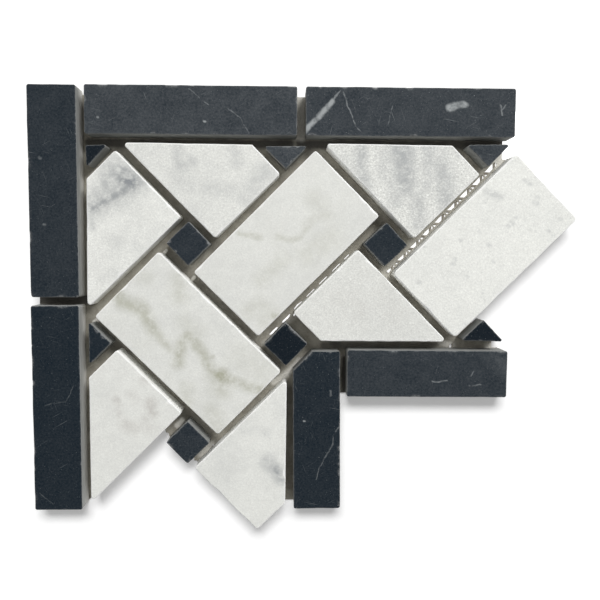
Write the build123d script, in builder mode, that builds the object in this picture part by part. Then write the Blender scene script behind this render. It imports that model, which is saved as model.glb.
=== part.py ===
from build123d import *
import os
from math import ceil, sqrt

# Corner sheet of a marble basketweave border, lying flat with its face up, in millimetres.
# The weave runs at 45 degrees to the sheet: white bricks lie two ways round small black dots.
# Black strips edge the weave, and a glass-fibre net glued to the back holds all the stones.

# Driving dimensions
brick_width = 35.0
dot_side = 12.0
joint = 3.4  # open joint between the stones of the weave
border_joint = 2.9  # open joint along the strips
strip_width = 18.4
stone_thickness = 9.0
corner_radius = 0.8  # upright corners of every stone
arris = 0.35  # eased edge round every top face
net_pitch = 5.0
strand_width = 1.0
strand_thickness = 0.35
film_thickness = 0.3  # adhesive between the net and the stones
backing_inset = 1.0  # the net and the film stop this far inside the stones' outline
backing_slip_x = -1.0  # along X, their slip off that outline when they were laid
backing_slip_y = -1.0  # and along Y
shortest_strand = 6.0  # shorter offcuts fall out when the net is trimmed
row_shift = -1.6  # the crosswise strands' place beside the corner dot's middle
slit_gap = 1.2  # where the film leaves a joint open, it stops this far short of the stone
wide_slit_gap = 2.5  # and this far at the right leg's end
slit_lap = 1.2  # the opening runs on this far under the stone
slit_rim = 0.6  # beside the right end brick, the film keeps a rim of this width instead

# The weave: dots stand on a square grid turned by 45 degrees, with one brick in each cell
pitch = brick_width + dot_side + 2 * joint
brick_length = pitch + dot_side
band = pitch / sqrt(2)  # half the width of the weave, from its middle line to where it is cut
strip_near = band + border_joint
strip_far = strip_near + strip_width

# The legs run from the corner to the right and downwards, and their last bricks stand out
right_end = (3 * pitch + dot_side + joint) / sqrt(2)
lower_end = (3 * pitch - dot_side - joint) / sqrt(2)
rounded_off = corner_radius * (sqrt(2) - 1)
right_tip = (4 * pitch - joint) / sqrt(2) - rounded_off
lower_tip = (3 * pitch - joint) / sqrt(2) - rounded_off

# The origin is under the middle of the sheet, so the corner dot stands left of it and above
corner_x = (strip_far - right_tip) / 2
corner_y = (lower_tip - strip_far) / 2

# Heights of the layers
upper_strands = strand_thickness
film_level = upper_strands + strand_thickness
stone_level = film_level + film_thickness


def sheet_plane(height, x=0, y=0, turn=0):
    """Return a level plane whose origin is x, y away from the corner dot's middle."""
    middle = (corner_x + x, corner_y + y, height)
    return Plane(origin=middle).rotated((0, 0, turn))


def write(piece, name):
    """Label a finished piece and write it to its own file."""
    piece.part.label = name
    export_step(piece.part, f"parts/{name}.step")


# The weave fills an L between the two lines where the outer and inner strips start
reach = 4 * pitch
with BuildSketch() as weave_band:
    with Locations((-band, band)):
        Rectangle(reach, reach, align=(Align.MIN, Align.MAX))
    with Locations((band, -band)):
        Rectangle(reach, reach, align=(Align.MIN, Align.MAX), mode=Mode.SUBTRACT)


def weave_stone(name, length, width, rotation, x, y, cut, slip, turn):
    """Make one stone of the weave, cut along the strips if it crosses them.

    The slip, in joint widths, and the turn, in degrees, are how it was laid by hand.
    """
    slip_x, slip_y = slip
    place = sheet_plane(stone_level, x + slip_x * joint, y + slip_y * joint, turn)
    with BuildPart() as stone:
        with BuildSketch(place) as outline:
            Rectangle(length, width, rotation=rotation)
            if cut:
                with Locations((-x, -y)):
                    add(weave_band.sketch, mode=Mode.INTERSECT)
            fillet(outline.vertices(), radius=corner_radius)
        extrude(amount=stone_thickness)
        chamfer(stone.faces().sort_by(Axis.Z)[-1].edges(), length=arris)
    write(stone, name)


def brick(name, i, j, cut=False, slip=(0, 0), turn=0):
    """Make the brick of cell i, j, counted up to the right and down to the right."""
    rotation = 45 if (i + j) % 2 == 0 else -45
    middle = ((i + j + 1) * band, (i - j) * band)
    weave_stone(name, brick_length, brick_width, rotation, *middle, cut, slip, turn)


def dot(name, i, j, cut=False, slip=(0, 0), turn=0):
    """Make the dot on grid point i, j."""
    middle = ((i + j) * band, (i - j) * band)
    weave_stone(name, dot_side, dot_side, 45, *middle, cut, slip, turn)


def strip(name, left, top, length_x, length_y, slip=(0, 0), turn=0, clear_of=None):
    """Make one border strip from its top left corner and its two lengths.

    A strip beside an uncut dot is clipped a joint's width away from that dot.
    """
    x = left + length_x / 2
    y = top - length_y / 2
    slip_x, slip_y = slip
    place = sheet_plane(stone_level, x + slip_x * border_joint, y + slip_y * border_joint, turn)
    with BuildPart() as stone:
        with BuildSketch(place) as outline:
            Rectangle(length_x, length_y)
            if clear_of:
                dot_x, dot_y = clear_of
                with Locations((dot_x - x, dot_y - y)):
                    clear = dot_side + 2 * joint
                    Rectangle(clear, clear, rotation=45, mode=Mode.SUBTRACT)
            fillet(outline.vertices(), radius=corner_radius)
        extrude(amount=stone_thickness)
        chamfer(stone.faces().sort_by(Axis.Z)[-1].edges(), length=arris)
    write(stone, name)


os.makedirs("parts", exist_ok=True)

# White bricks, from the corner along the upper leg and then down the left leg
brick("brick_corner_left", -1, -1, cut=True, slip=(0, 0.05), turn=-0.6)
brick("brick_corner_top", 0, -1, cut=True, slip=(0.1, -0.15), turn=-0.5)
brick("brick_upper_middle", 0, 0)
brick("brick_top_right", 1, 0, cut=True, slip=(0.1, 0.05), turn=-0.5)
brick("brick_right_end", 1, 1, slip=(0, -0.1), turn=-0.3)
brick("brick_lower_middle", -1, 0, slip=(0.05, -0.05), turn=0.4)
brick("brick_left_lower", -2, 0, cut=True, slip=(0.1, 0.05))
brick("brick_bottom_end", -1, 1, cut=True, slip=(0.12, -0.035), turn=-0.6)
brick("brick_inner_right", 0, 1, cut=True, slip=(-0.1, 0.1), turn=-0.3)

# Black dots, and the halves and the quarter left where the weave is cut
dot("dot_corner", 0, 0, slip=(0.05, 0), turn=-0.9)
dot("dot_right", 1, 1, slip=(-0.1, 0.05), turn=-1.8)
dot("dot_inner_corner", 0, 1, slip=(0.05, -0.05), turn=1)
dot("dot_lower", -1, 1, slip=(-0.2, -0.25), turn=-0.6)
dot("quarter_dot_corner", 0, -1, cut=True, slip=(0, -0.15), turn=2.3)
dot("half_dot_top_middle", 1, 0, cut=True, slip=(-0.25, -0.3), turn=0.7)
dot("half_dot_top_right", 2, 1, cut=True, slip=(0.1, 0.05), turn=1)
dot("half_dot_left", -1, 0, cut=True, slip=(0.1, -0.1))
dot("half_dot_inner_right", 1, 2, cut=True, slip=(0, 0.2), turn=-1.3)

# Black strips: two to each outer side, which are as long as fits, and one to each inner side
left_length = (strip_far + lower_end - border_joint) / 2
top_length = (band + right_end - border_joint) / 2
strip("strip_outer_left_upper", -strip_far, strip_far, strip_width, left_length)
strip("strip_outer_left_lower", -strip_far, left_length - lower_end, strip_width, left_length)
strip("strip_outer_top_left", -band, strip_far, top_length, strip_width, slip=(-0.1, 0))
strip(
    "strip_outer_top_right",
    right_end - top_length,
    strip_far,
    top_length,
    strip_width,
    slip=(-0.07, 0),
)
strip(
    "strip_inner_vertical",
    strip_near,
    -strip_near,
    strip_width,
    lower_end - strip_near,
    slip=(-0.2, 0),
    turn=0.5,
    clear_of=(band, -band),
)
strip(
    "strip_inner_horizontal",
    strip_far + border_joint,
    -strip_near,
    right_end - strip_far - border_joint,
    strip_width,
    slip=(-0.3, 0),
    turn=-0.4,
)

# Outline of the stones: both legs with their strips, less the notch in each leg's end, and
# with the two end bricks that stand out past the strips
with BuildSketch() as end_bricks:
    with Locations((3 * band, 0), (band, -2 * band)):
        Rectangle(brick_length, brick_width, rotation=45)
    add(weave_band.sketch, mode=Mode.INTERSECT)

right_notch = ((3 * pitch - joint) / sqrt(2), (dot_side + joint - pitch) / sqrt(2))
lower_notch = (-(dot_side + joint) / sqrt(2), (joint - 2 * pitch) / sqrt(2))
notch_reach = reach / sqrt(2)
with BuildSketch() as stones_outline:
    with Locations((-strip_far, strip_far)):
        Rectangle(strip_far + right_end, strip_far + lower_end, align=(Align.MIN, Align.MAX))
    with Locations((strip_far, -strip_far)):
        Rectangle(reach, reach, align=(Align.MIN, Align.MAX), mode=Mode.SUBTRACT)
    with Locations((right_notch[0] + notch_reach, right_notch[1])):
        Rectangle(reach, reach, rotation=45, mode=Mode.SUBTRACT)
    with Locations((lower_notch[0], lower_notch[1] - notch_reach)):
        Rectangle(reach, reach, rotation=45, mode=Mode.SUBTRACT)
    add(end_bricks.sketch)
    offset(amount=-backing_inset, kind=Kind.INTERSECTION)

# The net and the film were laid with the face down, a little off the stones' outline
with BuildSketch() as backing:
    with Locations((backing_slip_x, backing_slip_y)):
        add(stones_outline.sketch)

# Net: strands lie in columns along the left leg and in rows across them, each a separate yarn
column_places = [
    (net_pitch * k, 0)
    for k in range(-ceil(strip_far / net_pitch), ceil(right_tip / net_pitch))
]
row_places = [
    (0, row_shift + net_pitch * k)
    for k in range(-ceil(lower_tip / net_pitch), ceil(strip_far / net_pitch))
]


def strands(name, height, places, length_x, length_y):
    """Make the net's parallel strands, trimmed to the backing's outline."""
    with BuildSketch() as trimmed:
        with Locations(*places):
            Rectangle(length_x, length_y)
        add(backing.sketch, mode=Mode.INTERSECT)
    kept = [face for face in trimmed.faces() if face.area > shortest_strand * strand_width]
    with BuildPart() as layer:
        with BuildSketch(sheet_plane(height)):
            add(kept)
        extrude(amount=strand_thickness)
    write(layer, name)


strands("net_lengthwise_strands", 0, column_places, strand_width, 2 * reach)
strands("net_crosswise_strands", upper_strands, row_places, 2 * reach, strand_width)

# Adhesive film: it bridges most joints, and leaves the net's cells open along some stones' edges
near_edge = pitch - dot_side / 2
far_edge = pitch + dot_side / 2 + joint
slits = [
    # upper left edge of the right end brick, wider towards the sheet's end
    (near_edge, 2 * pitch + slit_lap, far_edge, -slit_rim, slit_gap + slit_rim, wide_slit_gap),
    # upper left edges of the inner corner dot and the brick above it
    (-dot_side / 2, pitch - dot_side, near_edge, slit_lap, slit_gap, slit_gap),
    # upper left edge of the bottom end brick, beside the lower dot
    (-pitch - slit_lap, joint - pitch, far_edge, slit_lap, slit_gap, slit_gap),
    # clipped edge of the inner vertical strip
    (-dot_side / 2 - slit_lap, 0, far_edge, slit_lap, slit_gap, slit_gap),
]
border_slits = [
    # upper edge of the inner horizontal strip, at both sides of the half dot above it
    (2 * band + brick_width / sqrt(2) + joint / 2, 3 * band - dot_side / sqrt(2)),
    (right_end - net_pitch, right_end - wide_slit_gap),
]
cell_places = [
    (x + net_pitch / 2, y + net_pitch / 2)
    for x, _ in column_places
    for _, y in row_places
]
with BuildSketch() as open_cells:
    for start, end, edge, lap, first_gap, last_gap in slits:
        corners = [
            (start, edge - first_gap),
            (start, edge + lap),
            (end, edge + lap),
            (end, edge - last_gap),
        ]
        Polygon([((u + v) / sqrt(2), (u - v) / sqrt(2)) for u, v in corners], align=None)
    for start, end in border_slits:
        with Locations((start, -strip_near - slit_lap)):
            Rectangle(end - start, 2 * slit_lap + slit_gap, align=(Align.MIN, Align.MIN))
    with BuildSketch(mode=Mode.INTERSECT):
        with Locations(*cell_places):
            Rectangle(net_pitch - strand_width, net_pitch - strand_width)

with BuildPart() as film:
    with BuildSketch(sheet_plane(film_level)):
        add(backing.sketch)
        add([cell for cell in open_cells.faces() if cell.area > strand_width**2], mode=Mode.SUBTRACT)
    extrude(amount=film_thickness)
write(film, "adhesive_film")
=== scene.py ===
"""Dress the marble basketweave border corner for its picture.

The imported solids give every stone, yarn and glue bed its place. This script gives them worn
arrises, woven yarns, veined stone, a soft studio light and a camera above the sheet.
"""

import logging
import math
from dataclasses import dataclass, field, replace
from enum import Enum
from functools import reduce
from itertools import cycle
from typing import Any, Iterable, Sequence

import bpy
import numpy as np
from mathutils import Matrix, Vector
from mathutils.geometry import delaunay_2d_cdt


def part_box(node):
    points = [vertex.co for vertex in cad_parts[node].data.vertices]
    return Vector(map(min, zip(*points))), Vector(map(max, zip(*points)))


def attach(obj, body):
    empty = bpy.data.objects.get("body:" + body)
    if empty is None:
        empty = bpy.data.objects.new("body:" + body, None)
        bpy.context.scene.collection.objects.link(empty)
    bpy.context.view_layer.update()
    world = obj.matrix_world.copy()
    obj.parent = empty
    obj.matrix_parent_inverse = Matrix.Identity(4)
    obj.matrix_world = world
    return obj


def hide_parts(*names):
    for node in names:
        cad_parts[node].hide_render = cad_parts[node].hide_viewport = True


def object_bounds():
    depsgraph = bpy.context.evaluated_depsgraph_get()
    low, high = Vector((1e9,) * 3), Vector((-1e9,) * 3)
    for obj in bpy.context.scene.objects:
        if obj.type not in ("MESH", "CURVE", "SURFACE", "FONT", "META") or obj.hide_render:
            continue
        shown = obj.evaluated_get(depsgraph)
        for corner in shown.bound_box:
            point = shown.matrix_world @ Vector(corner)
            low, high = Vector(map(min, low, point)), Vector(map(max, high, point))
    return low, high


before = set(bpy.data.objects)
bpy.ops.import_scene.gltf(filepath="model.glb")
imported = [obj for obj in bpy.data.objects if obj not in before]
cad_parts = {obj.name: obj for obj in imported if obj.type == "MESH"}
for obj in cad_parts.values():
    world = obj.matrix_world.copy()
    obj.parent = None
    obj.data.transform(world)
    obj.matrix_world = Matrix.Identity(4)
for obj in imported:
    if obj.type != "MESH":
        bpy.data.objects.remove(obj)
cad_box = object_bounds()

Colour = tuple[float, float, float]
Point = tuple[float, float]

MM = 0.001
BODY = "root"
LOG = logging.getLogger("mosaic_corner")

# Lengths in millimetres
TOUCH = 0.01  # points this close are one
SHORTEST_SIDE = 1.5  # shorter runs of an outline belong to its corners
LEAST_RADIUS = 0.05  # of a corner that is drawn in
SENSOR = 36.0  # width of the camera's sensor

# Points and sides
CORNER_POINTS = 7
SIDE_POINTS = 6  # on each side of an opening before it is rounded
YARN_SIDES = 6

# The most waves round a stone, in its outline, its arris, its lower edge and its sawn sides
OUTLINE_WAVES, ARRIS_WAVES, FOOT_WAVES, SAW_WAVES = 9, 25, 30, 14
STRAY_WAVES = 55.0  # of a yarn's sideways strays, for each metre

# First seeds of the two marbles, and the step from one stone's cut to the next, in millimetres
WHITE_SEED, BLACK_SEED = 100, 300
WHITE_CUT = (170.0, -90.0, 40.0)
BLACK_CUT = (-130.0, 210.0, 60.0)

# Colours that several stones share
COOL: Colour = (0.31, 0.325, 0.335)
OLIVE: Colour = (0.36, 0.36, 0.265)
INK: Colour = (0.0005, 0.0042, 0.0085)
BROWN: Colour = (0.36, 0.325, 0.295)

# How far a surface faces up where a stone's sawn side gives way to its honed face
HONED_FROM, HONED_TO = 0.45, 0.85


class Slot(Enum):
    """The record's material slots."""

    WHITE_MARBLE = "white_marble"
    BLACK_MARBLE = "black_marble"
    NET = "glass_fibre_net"
    ADHESIVE = "adhesive"


class YarnWay(Enum):
    """The two ways that the net's yarns run, with the sign of their weave."""

    LENGTHWISE = 1.0
    CROSSWISE = -1.0


class Value:
    """A number that flows through a node tree, with Python's operators on it."""

    def __init__(self, bench: "Bench", socket: bpy.types.NodeSocket) -> None:
        """Wrap a socket.

        Args:
            bench: The tree that the socket belongs to.
            socket: An output socket that carries a number.
        """
        self.bench = bench
        self.socket = socket

    def __add__(self, other: Any) -> "Value":
        """Return self + other."""
        return self.bench.math("ADD", self, other)

    def __radd__(self, other: Any) -> "Value":
        """Return other + self."""
        return self.bench.math("ADD", other, self)

    def __sub__(self, other: Any) -> "Value":
        """Return self - other."""
        return self.bench.math("SUBTRACT", self, other)

    def __rsub__(self, other: Any) -> "Value":
        """Return other - self."""
        return self.bench.math("SUBTRACT", other, self)

    def __mul__(self, other: Any) -> "Value":
        """Return self * other."""
        return self.bench.math("MULTIPLY", self, other)

    def __rmul__(self, other: Any) -> "Value":
        """Return other * self."""
        return self.bench.math("MULTIPLY", other, self)

    def __abs__(self) -> "Value":
        """Return the number without its sign."""
        return self.bench.math("ABSOLUTE", self)

    def larger(self, other: Any) -> "Value":
        """Return the larger of self and other."""
        return self.bench.math("MAXIMUM", self, other)

    def smaller(self, other: Any) -> "Value":
        """Return the smaller of self and other."""
        return self.bench.math("MINIMUM", self, other)

    def rise(self, low: float, high: float) -> "Value":
        """Rise smoothly from 0 to 1.

        Args:
            low: Where the rise starts.
            high: Where it ends; below low, it falls instead.

        Returns:
            The eased number.
        """
        node = self.bench.add(
            "ShaderNodeMapRange",
            {"interpolation_type": "SMOOTHSTEP"},
            {"Value": self, "From Min": low, "From Max": high},
        )
        return Value(self.bench, node.outputs["Result"])


class Bench:
    """A node tree under construction."""

    def __init__(self, tree: bpy.types.NodeTree) -> None:
        """Start on a tree, emptied first.

        Args:
            tree: A shader or geometry tree.
        """
        self.tree = tree
        tree.nodes.clear()

    def add(
        self,
        kind: str,
        settings: dict[str, Any] | None = None,
        sockets: dict[Any, Any] | None = None,
    ) -> bpy.types.Node:
        """Add a node.

        Args:
            kind: The node's type name.
            settings: The node's own settings, set before its sockets.
            sockets: Values or links for its inputs, by name or number.

        Returns:
            The new node.
        """
        node = self.tree.nodes.new(kind)
        for key, value in (settings or {}).items():
            setattr(node, key, value)
        for key, value in (sockets or {}).items():
            self.plug(node.inputs[key], value)
        return node

    def plug(self, socket: bpy.types.NodeSocket, value: Any) -> None:
        """Link a socket, or set its value.

        Args:
            socket: The input socket.
            value: A Value or an output socket to link, or a plain value to set.
        """
        if isinstance(value, Value):
            value = value.socket
        if isinstance(value, bpy.types.NodeSocket):
            self.tree.links.new(value, socket)
        else:
            socket.default_value = value

    def math(self, operation: str, *values: Any) -> Value:
        """Add a Math node.

        Args:
            operation: The node's operation.
            values: Its numbers, plain or flowing.

        Returns:
            The result.
        """
        node = self.add("ShaderNodeMath", {"operation": operation}, dict(enumerate(values)))
        return Value(self, node.outputs[0])

    def vector(self, operation: str, *values: Any) -> bpy.types.NodeSocket:
        """Add a Vector Math node that gives a vector.

        Args:
            operation: The node's operation.
            values: Its vectors, plain or flowing.

        Returns:
            The resulting vector's socket.
        """
        node = self.add(
            "ShaderNodeVectorMath", {"operation": operation}, dict(enumerate(values))
        )
        return node.outputs["Vector"]

    def scale(self, vector: Any, factor: Any) -> bpy.types.NodeSocket:
        """Multiply a vector or colour by a number.

        Args:
            vector: The vector or colour, plain or flowing.
            factor: The number, plain or flowing.

        Returns:
            The scaled vector's socket.
        """
        node = self.add(
            "ShaderNodeVectorMath", {"operation": "SCALE"}, {0: vector, "Scale": factor}
        )
        return node.outputs["Vector"]

    def measure(self, operation: str, *values: Any) -> Value:
        """Add a Vector Math node that gives a number.

        Args:
            operation: LENGTH, DOT_PRODUCT or a like operation.
            values: Its vectors, plain or flowing.

        Returns:
            The number.
        """
        node = self.add(
            "ShaderNodeVectorMath", {"operation": operation}, dict(enumerate(values))
        )
        return Value(self, node.outputs["Value"])

    def mix(self, factor: Any, first: Any, second: Any) -> bpy.types.NodeSocket:
        """Mix two colours.

        Args:
            factor: 0 for the first colour, 1 for the second.
            first: The first colour, plain or flowing.
            second: The second colour, plain or flowing.

        Returns:
            The mixed colour's socket.
        """
        node = self.add(
            "ShaderNodeMix",
            {"data_type": "RGBA", "clamp_factor": True},
            {0: factor, 6: rgba(first), 7: rgba(second)},
        )
        return node.outputs[2]

    def noise(self, place: Any, scale: float, detail: float = 2.0, rough: float = 0.5) -> Value:
        """Add a noise texture.

        Args:
            place: Where to read it, in millimetres.
            scale: Its features for each millimetre.
            detail: Its octaves.
            rough: The strength of the finer octaves.

        Returns:
            Noise from 0 to 1, about 0.5 on the average.
        """
        node = self._noise_node(place, scale, detail, rough)
        return Value(self, node.outputs[0])

    def warp(self, place: Any, scale: float, reach: float) -> bpy.types.NodeSocket:
        """Move a place about by noise.

        Args:
            place: The place, in millimetres.
            scale: The noise's features for each millimetre.
            reach: How far it moves, in millimetres.

        Returns:
            The moved place's socket.
        """
        node = self._noise_node(place, scale, 2.0, 0.5)
        centred = self.vector("SUBTRACT", node.outputs["Color"], (0.5, 0.5, 0.5))
        return self.vector("ADD", place, self.scale(centred, 2.0 * reach))

    def _noise_node(self, place: Any, scale: float, detail: float, rough: float) -> bpy.types.Node:
        """Return a noise node with its sockets set."""
        return self.add(
            "ShaderNodeTexNoise",
            None,
            {"Vector": place, "Scale": scale, "Detail": detail, "Roughness": rough},
        )

    def axes(self, vector: Any) -> tuple[Value, Value, Value]:
        """Split a vector.

        Args:
            vector: The vector, flowing.

        Returns:
            Its three numbers.
        """
        node = self.add("ShaderNodeSeparateXYZ", None, {0: vector})
        return tuple(Value(self, node.outputs[k]) for k in range(3))


def rgba(colour: Any) -> Any:
    """Give a plain colour its fourth number, and leave a link as it is.

    Args:
        colour: A colour of three numbers, or a link.

    Returns:
        The colour with its fourth number, or the link.
    """
    if isinstance(colour, tuple) and len(colour) == 3:
        return (*colour, 1.0)
    return colour


class Finish:
    """What every surface finish shares: a material and the places that its patterns read."""

    def start(self, name: str) -> tuple[bpy.types.Material, Bench]:
        """Make an empty material.

        Args:
            name: The material's name.

        Returns:
            The material and the bench for its nodes.
        """
        material = bpy.data.materials.new(name)
        material.use_nodes = True
        return material, Bench(material.node_tree)

    def place(self, bench: Bench) -> tuple[bpy.types.NodeSocket, Value]:
        """Read where a point of the piece is.

        Args:
            bench: The material's nodes.

        Returns:
            The place in millimetres, and how far the surface faces up.
        """
        where = bench.add("ShaderNodeTexCoord")
        _, _, up = bench.axes(where.outputs["Normal"])
        return bench.scale(where.outputs["Object"], 1.0 / MM), up

    def close(
        self, bench: Bench, colour: Any, rough: Any, height: Value, relief: float, **fixed: float
    ) -> None:
        """Join colour, roughness and relief in a shader and end the tree.

        Args:
            bench: The material's nodes.
            colour: The base colour, plain or flowing.
            rough: The roughness, plain or flowing.
            height: The relief's height, from 0 to 1.
            relief: The relief's depth in millimetres.
            fixed: Other sockets of the shader that are the same all over.
        """
        bump = bench.add(
            "ShaderNodeBump", None, {"Strength": 1.0, "Distance": relief * MM, "Height": height}
        )
        sockets = {
            "Base Color": rgba(colour),
            "Roughness": rough,
            "Normal": bump.outputs["Normal"],
        }
        sockets.update({key.replace("_", " "): value for key, value in fixed.items()})
        shader = bench.add("ShaderNodeBsdfPrincipled", None, sockets)
        bench.add("ShaderNodeOutputMaterial", None, {"Surface": shader.outputs[0]})


@dataclass(frozen=True)
class Vein:
    """One vein, smear or scratch across a stone's face.

    Attributes:
        points: Its line on the face, in millimetres of the part's frame.
        width: Its width in millimetres.
        strength: How strongly it shows, from 0 to 1.
        blur: How soft its sides are, from 0 to 1.
    """

    points: tuple[Point, ...]
    width: float = 0.5
    strength: float = 0.6
    blur: float = 0.6

    def mask(self, bench: Bench, place: Any) -> Value:
        """Draw the vein.

        Args:
            bench: The material's nodes.
            place: The place in millimetres, moved about by noise.

        Returns:
            How much of the vein shows, from 0 to its strength.
        """
        near: Value | None = None
        for start, end in zip(self.points, self.points[1:]):
            away = self._distance(bench, place, start, end)
            near = away if near is None else near.smaller(away)
        half = self.width / 2
        shape = near.rise(half * (1 + 2 * self.blur), half * (1 - self.blur))
        return shape * self.strength

    @staticmethod
    def _distance(bench: Bench, place: Any, start: Point, end: Point) -> Value:
        """Measure how far a place is from one straight stretch of the vein.

        Args:
            bench: The material's nodes.
            place: The place in millimetres.
            start: Where the stretch starts.
            end: Where it ends.

        Returns:
            The distance in millimetres.
        """
        run = (end[0] - start[0], end[1] - start[1], 0.0)
        square = run[0] ** 2 + run[1] ** 2
        away = bench.vector("SUBTRACT", place, (start[0], start[1], 0.0))
        along = bench.measure("DOT_PRODUCT", away, run) * (1.0 / square)
        along = along.larger(0.0).smaller(1.0)
        return bench.measure("LENGTH", bench.vector("SUBTRACT", away, bench.scale(run, along)))


@dataclass(frozen=True)
class Marble(Finish):
    """What the two marbles share.

    Attributes:
        shift: Moves the stone's own cut through the block, in millimetres.
        veins: Its veins.
    """

    shift: tuple[float, float, float] = (0.0, 0.0, 0.0)
    veins: tuple[Vein, ...] = ()

    def worn(self, bench: Bench) -> Value:
        """Read how worn the stone's edge is.

        Args:
            bench: The material's nodes.

        Returns:
            0 on its faces, up to 1 on its edges and chips.
        """
        node = bench.add("ShaderNodeAttribute", {"attribute_name": "worn"})
        return Value(bench, node.outputs["Fac"])

    def drawn(self, bench: Bench, place: Any) -> Value:
        """Draw all the stone's veins.

        Args:
            bench: The material's nodes.
            place: The place in millimetres.

        Returns:
            How much vein shows, from 0 to 1.
        """
        level = bench.vector("MULTIPLY", place, (1.0, 1.0, 0.0))
        moved = bench.warp(bench.warp(level, 0.11, 1.3), 0.8, 0.35)
        broken = bench.noise(place, 0.45, 3.0, 0.6).rise(0.28, 0.62)
        masks = [vein.mask(bench, moved) for vein in self.veins]
        return reduce(Value.larger, masks) * (broken * 0.6 + 0.4)


@dataclass(frozen=True)
class WhiteMarble(Marble):
    """White marble with grey clouds and a sugary grain, honed on top and sawn at the sides.

    Attributes:
        cloud: How strongly the grey clouds show.
        tone: The lightness of the whole stone.
        flecks: How strongly small grey flecks show.
        sugar: How strongly the crystals of its grain show.
        stone: Colour of its honed face.
        grey: Colour of its clouds and flecks.
        vein_colour: Colour of its veins.
        sawn: Colour of its sawn sides, lighter than the face, partly painted light that stands in
            for light reaching them in the joints.
        worn_edge_and_highlight: Colour of its worn edges, lighter than the face: real wear and a
            painted highlight along the arris.
    """

    cloud: float = 0.3
    tone: float = 0.92
    flecks: float = 0.15
    sugar: float = 1.0
    stone: Colour = (0.79, 0.795, 0.755)
    grey: Colour = (0.40, 0.41, 0.41)
    vein_colour: Colour = COOL
    sawn: Colour = (0.92, 0.92, 0.885)
    worn_edge_and_highlight: Colour = (0.89, 0.895, 0.875)

    def material(self, name: str) -> bpy.types.Material:
        """Make the material.

        Args:
            name: The material's name.

        Returns:
            The material.
        """
        material, bench = self.start(name)
        place, up = self.place(bench)
        cut = bench.vector("ADD", place, self.shift)
        rolled = bench.warp(cut, 0.035, 12.0)
        clouds = bench.noise(rolled, 0.06, 6.0, 0.62).rise(0.38, 0.78)
        threads = 1.0 - abs(bench.noise(rolled, 0.028, 4.0, 0.55) - 0.5) * 13.0
        threads = threads.larger(0.0) * bench.noise(cut, 0.07).rise(0.38, 0.7)
        fleck = bench.noise(cut, 0.22, 4.0, 0.7).rise(0.60, 0.76)
        grain = bench.noise(cut, 1.3, 3.0, 0.75)
        crystal = bench.add("ShaderNodeTexVoronoi", None, {"Vector": cut, "Scale": 2.7})
        sparkle, _, _ = bench.axes(crystal.outputs["Color"])
        mottle = bench.noise(cut, 0.30, 3.0, 0.6) - 0.5
        light = 1.0 + (grain - 0.5) * (0.36 * self.sugar) + mottle * 0.16
        light = light + (sparkle.rise(0.6, 1.0) - 0.2) * (0.07 * self.sugar)
        face = bench.scale(tuple(c * self.tone for c in self.stone), light)
        face = bench.mix(clouds * self.cloud, face, self.grey)
        face = bench.mix(fleck * self.flecks, face, self.grey)
        face = bench.mix(threads * 0.35 * self.cloud, face, self.vein_colour)
        if self.veins:
            face = bench.mix(self.drawn(bench, place), face, self.vein_colour)
        top = up.rise(HONED_FROM, HONED_TO)
        saw = bench.noise(bench.vector("MULTIPLY", cut, (0.15, 0.15, 3.2)), 1.0, 3.0, 0.6)
        # Sawn sides, lighter than the face, partly as painted light for the light reaching them in
        # the joints
        side = bench.scale(self.sawn, 0.8 + saw * 0.4)
        colour = bench.mix(top, side, face)
        # Worn edges, lighter than the face: real wear and a painted highlight along the arris
        colour = bench.mix(self.worn(bench), colour, self.worn_edge_and_highlight)
        rough = 0.72 - top * 0.2 + (grain - 0.5) * 0.2
        height = grain * 0.6 + saw * (1.0 - top) * 1.5
        self.close(bench, colour, rough, height, 0.09, Specular_IOR_Level=0.3)
        return material


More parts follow.
